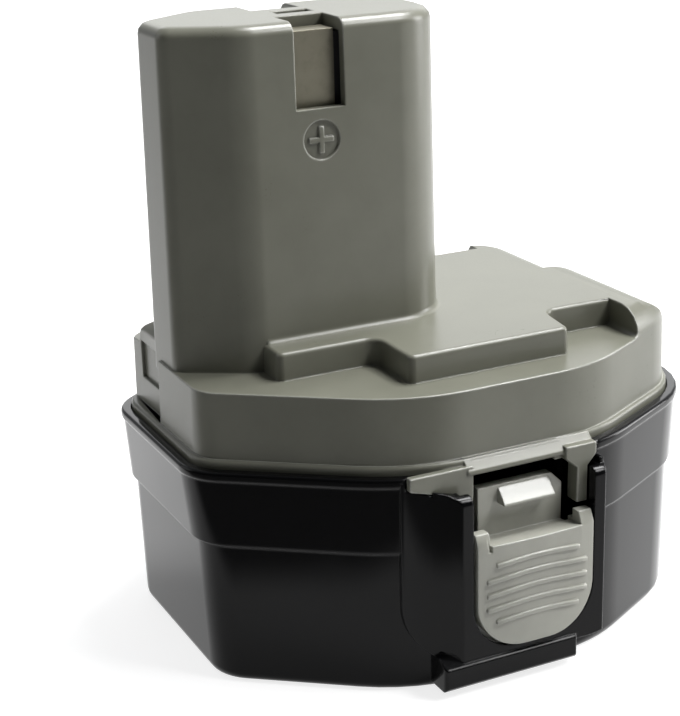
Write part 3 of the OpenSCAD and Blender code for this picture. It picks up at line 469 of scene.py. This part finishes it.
roundedCopy({"name": "lowerCase", "node": "lower_case", "body": "pack", "slot": "case",
             "finish": casePlastic, "radius": 0.22 * mm})
roundedCopy({"name": "upperHousing", "node": "upper_housing", "body": "pack", "slot": "housing",
             "finish": housingPlastic, "radius": 0.22 * mm})
for side in ("front", "back"):
    roundedCopy({"name": side + "LatchButton", "node": side + "_latch_button", "body": side + "_latch",
                 "slot": "button", "finish": buttonPlastic, "radius": 0.12 * mm})
print("shells and buttons made")


# Springs: round wire swung round the axis of each button

coil = {"x": 2.25 * mm, "z": 18.8 * mm, "radius": 2.8 * mm, "wire": 0.35 * mm, "wireSides": 12,
        "inner": 33.35 * mm, "outer": 44.25 * mm, "turns": 6, "stepsPerTurn": 24, "keep": 0.698}


def makeSpring(side, sign):
    form = bmesh.new()
    ring = bmesh.ops.create_circle(form, segments=coil["wireSides"], radius=coil["wire"])["verts"]
    start = Vector((coil["x"] + coil["radius"], sign * coil["inner"], coil["z"]))
    bmesh.ops.transform(form, matrix=Matrix.Translation(start), verts=ring)
    first = list(form.edges)
    bmesh.ops.contextual_create(form, geom=first)
    steps = coil["turns"] * coil["stepsPerTurn"]
    swing = bmesh.ops.spin(
        form, geom=ring + first, cent=Vector((coil["x"], 0, coil["z"])), axis=Vector((0, -sign, 0)),
        dvec=Vector((0, sign * (coil["outer"] - coil["inner"]) / steps, 0)),
        angle=2 * math.pi * coil["turns"], steps=steps)
    last = [part for part in swing["geom_last"] if isinstance(part, bmesh.types.BMEdge)]
    bmesh.ops.contextual_create(form, geom=last)
    bmesh.ops.recalc_face_normals(form, faces=form.faces)
    mesh = bpy.data.meshes.new(side + "LatchSpring")
    form.to_mesh(mesh)
    form.free()
    mesh.shade_smooth()
    spring = newPiece(side + "LatchSpring", mesh, springSteel, "pack", side + "_latch_spring")
    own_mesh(spring)


makeSpring("front", -1)
makeSpring("back", 1)
print("springs made")


# Foam pads between the upper sheet and the housing's ceiling

foam = {"width": 7 * mm, "round": 0.7 * mm, "segments": 3}


def makeFoam():
    low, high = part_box("foam_pads")
    form = bmesh.new()
    for sign in (-1, 1):
        block = bmesh.ops.create_cube(form, size=1)["verts"]
        size = Vector((high.x - low.x, foam["width"], high.z - low.z))
        middle = Vector(((low.x + high.x) / 2, sign * (high.y - foam["width"] / 2), (low.z + high.z) / 2))
        bmesh.ops.scale(form, vec=size, verts=block)
        bmesh.ops.translate(form, vec=middle, verts=block)
    bmesh.ops.bevel(form, geom=list(form.edges), offset=foam["round"], offset_type="OFFSET",
                    affect="EDGES", segments=foam["segments"], profile=0.5, material=-1)
    mesh = bpy.data.meshes.new("foamPads")
    form.to_mesh(mesh)
    form.free()
    mesh.shade_smooth()
    pads = newPiece("foamPads", mesh, padFoam, "pack", "foam_pads")


makeFoam()


# Leads inside the pack: round wires along the CAD routes, in millimetres

lead = {"radius": 0.8 * mm, "wireSteps": 4, "routeSteps": 8}


def makeLead(name, node, finish, points):
    curve = bpy.data.curves.new(name, "CURVE")
    curve.dimensions = "3D"
    curve.bevel_depth = lead["radius"]
    curve.bevel_resolution = lead["wireSteps"]
    curve.use_fill_caps = True
    spline = curve.splines.new("BEZIER")
    spline.bezier_points.add(len(points) - 1)
    for knot, point in zip(spline.bezier_points, points):
        knot.co = [value * mm for value in point]
        knot.handle_left_type = knot.handle_right_type = "AUTO"
    spline.resolution_u = lead["routeSteps"]
    newPiece(name, curve, finish, "pack", node)


leadRise = [
    (-44.1, 2.4, 55.7), (-44.1, 2.4, 89.2), (-42.9, 3.4, 92.7), (-38.3, 7.1, 95.3),
    (-35.4, 8.1, 95.3), (-33.8, 8.1, 95.3)]
makeLead("positiveLead", "positive_lead", redJacket,
         [(x, -y, z) for x, y, z in [(-44.1, 2.4, 47.7), (-44.1, 2.4, 50.9)] + leadRise])
makeLead("negativeLead", "negative_lead", blackJacket,
         [(-22.66, 19.59, 46.7), (-22.66, 19.59, 47.7), (-24.66, 19.19, 49.7), (-31.72, 17.32, 49.7),
          (-40.7, 7.93, 49.7), (-44.1, 3.4, 50.7), (-44.1, 2.4, 53.2)] + leadRise)
low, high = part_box("sensor_lead")
middle = (low + high) / 2
makeLead("sensorLead", "sensor_lead", whiteJacket,
         [(middle.x / mm, middle.y / mm, z / mm) for z in (low.z, middle.z, high.z)])
print("leads and pads made")


# Camera at the photograph's viewing angle

view = {"azimuth": -25.6, "elevation": 19.05, "roll": -1.69, "focalPixels": 1700, "longSide": 716,
        "sensor": 36, "nearest": 10 * mm, "place": (-143.65 * mm, -273.8 * mm, 153.9 * mm)}


def makeCamera():
    azimuth, elevation, roll = (math.radians(view[key]) for key in ("azimuth", "elevation", "roll"))
    back = Vector((math.sin(azimuth) * math.cos(elevation), -math.cos(azimuth) * math.cos(elevation),
                   math.sin(elevation)))
    right = Vector((math.cos(azimuth), math.sin(azimuth), 0))
    up = back.cross(right)
    turnedRight = math.cos(roll) * right + math.sin(roll) * up
    turnedUp = math.cos(roll) * up - math.sin(roll) * right
    data = bpy.data.cameras.new("camera")
    data.sensor_fit = "AUTO"
    data.sensor_width = view["sensor"]
    data.lens = view["sensor"] * view["focalPixels"] / view["longSide"]
    data.clip_start = view["nearest"]
    camera = bpy.data.objects.new("camera", data)
    scene.collection.objects.link(camera)
    turn = Matrix((turnedRight, turnedUp, back)).transposed().to_4x4()
    camera.matrix_world = Matrix.Translation(view["place"]) @ turn
    scene.camera = camera


makeCamera()


# Pale paper floor, in metres

paper = {
    "half": 40, "base": (0.4, 0.4, 0.4, 1), "glow": (1, 1, 1, 1),
    "nearGlow": 0.8, "farGlow": 0.2, "glowStart": 0.4, "glowFull": 1.6, "mirrorGlow": 0.6,
    "shade": (0.12, 0.12, 0.12, 1), "shadeTowards": (-0.75, -0.66, 0), "shadeStart": 0.08, "shadeFull": 0.1}


def paperMaterial():
    paint = Paint("floorPaper", {"Base Color": paper["base"], "Roughness": 0.9, "Specular IOR Level": 0.1})
    camera, glossy, through = (
        paint.add("ShaderNodeLightPath", {}, {}, "Is " + ray + " Ray")
        for ray in ("Camera", "Glossy", "Transmission"))
    # The paper glows for the camera, most of all far out, and less for mirrored rays
    distance = paint.add("ShaderNodeVectorMath", {"operation": "LENGTH"}, {0: paint.place}, "Value")
    far = paint.ramp(distance, paper["glowStart"], paper["glowFull"])
    whiteness = paper["nearGlow"] + far * paper["farGlow"]
    seen = paint.larger(camera * whiteness, paint.larger(glossy, through) * paper["mirrorGlow"])
    glow = paint.add("ShaderNodeEmission", {}, {"Color": paper["glow"], "Strength": 1}, "Emission")
    both = paint.add("ShaderNodeAddShader", {}, {0: paint.surface, 1: glow}, "Shader")
    shown = paint.add("ShaderNodeMixShader", {}, {0: seen, 1: paint.surface, 2: both}, "Shader")
    # The near faces of the case mirror a dark patch in front and to the left, as in the photograph
    ahead = paint.dot(paint.place, paper["shadeTowards"])
    shade = paint.ramp(ahead, paper["shadeStart"], paper["shadeFull"]) * glossy
    dark = paint.add("ShaderNodeBsdfDiffuse", {}, {"Color": paper["shade"]}, "BSDF")
    shown = paint.add("ShaderNodeMixShader", {}, {0: shade, 1: shown, 2: dark}, "Shader")
    paint.feed(paint.tree.nodes["Material Output"].inputs["Surface"], shown)
    return paint.material


def makeFloor():
    form = bmesh.new()
    bmesh.ops.create_grid(form, x_segments=1, y_segments=1, size=paper["half"])
    mesh = bpy.data.meshes.new("floor")
    form.to_mesh(mesh)
    form.free()
    floor = bpy.data.objects.new("floor", mesh)
    scene.collection.objects.link(floor)
    mesh.materials.append(paperMaterial())


makeFloor()


# Soft studio light, in metres

def makeLamp(style):
    data = bpy.data.lights.new(style["name"], "AREA")
    data.shape = "RECTANGLE"
    data.size, data.size_y = style["size"]
    data.energy = style["watts"]
    lamp = bpy.data.objects.new(style["name"], data)
    scene.collection.objects.link(lamp)
    lamp.location = style["place"]
    aim = Vector(style["aim"]) - Vector(style["place"])
    lamp.rotation_euler = aim.to_track_quat("-Z", "Y").to_euler()


makeLamp({"name": "keyPanel", "size": (0.4, 0.4), "watts": 11,
          "place": (0.66, -0.6, 1.05), "aim": (0, 0, 0.04)})
makeLamp({"name": "topPanel", "size": (0.5, 0.5), "watts": 22,
          "place": (0.5, 0.06, 1.15), "aim": (0, 0, 0.03)})
makeLamp({"name": "backPanel", "size": (1.3, 0.7), "watts": 3.6,
          "place": (0.55, 1.1, 0.62), "aim": (0, 0, 0.06)})
makeLamp({"name": "leftPanel", "size": (0.6, 0.8), "watts": 1.6,
          "place": (-1.0, 0.7, 0.5), "aim": (0, 0, 0.05)})
makeLamp({"name": "rightPanel", "size": (0.3, 0.9), "watts": 9,
          "place": (1.1, -0.2, 0.3), "aim": (0, 0, 0.05)})


# The sky is bright behind and above, and dim on the camera's side

sky = {"towards": (0.45, 0.75, 0.5), "fadeLow": -0.4, "fadeHigh": 0.8,
       "dim": 0.03, "bright": 0.52, "colour": (0.95, 0.97, 1, 1)}


def makeWorld():
    world = bpy.data.worlds.new("studio")
    scene.world = world
    world.use_nodes = True
    net = Net(world.node_tree)
    direction = net.add("ShaderNodeTexCoord", {}, {}, "Generated")
    level = net.ramp(net.dot(direction, sky["towards"]), sky["fadeLow"], sky["fadeHigh"])
    back = net.tree.nodes["Background"]
    net.feed(back.inputs["Color"], sky["colour"])
    net.feed(back.inputs["Strength"], sky["dim"] + level * (sky["bright"] - sky["dim"]))


makeWorld()
scene.view_settings.view_transform = "Standard"
print("camera, floor and light made")
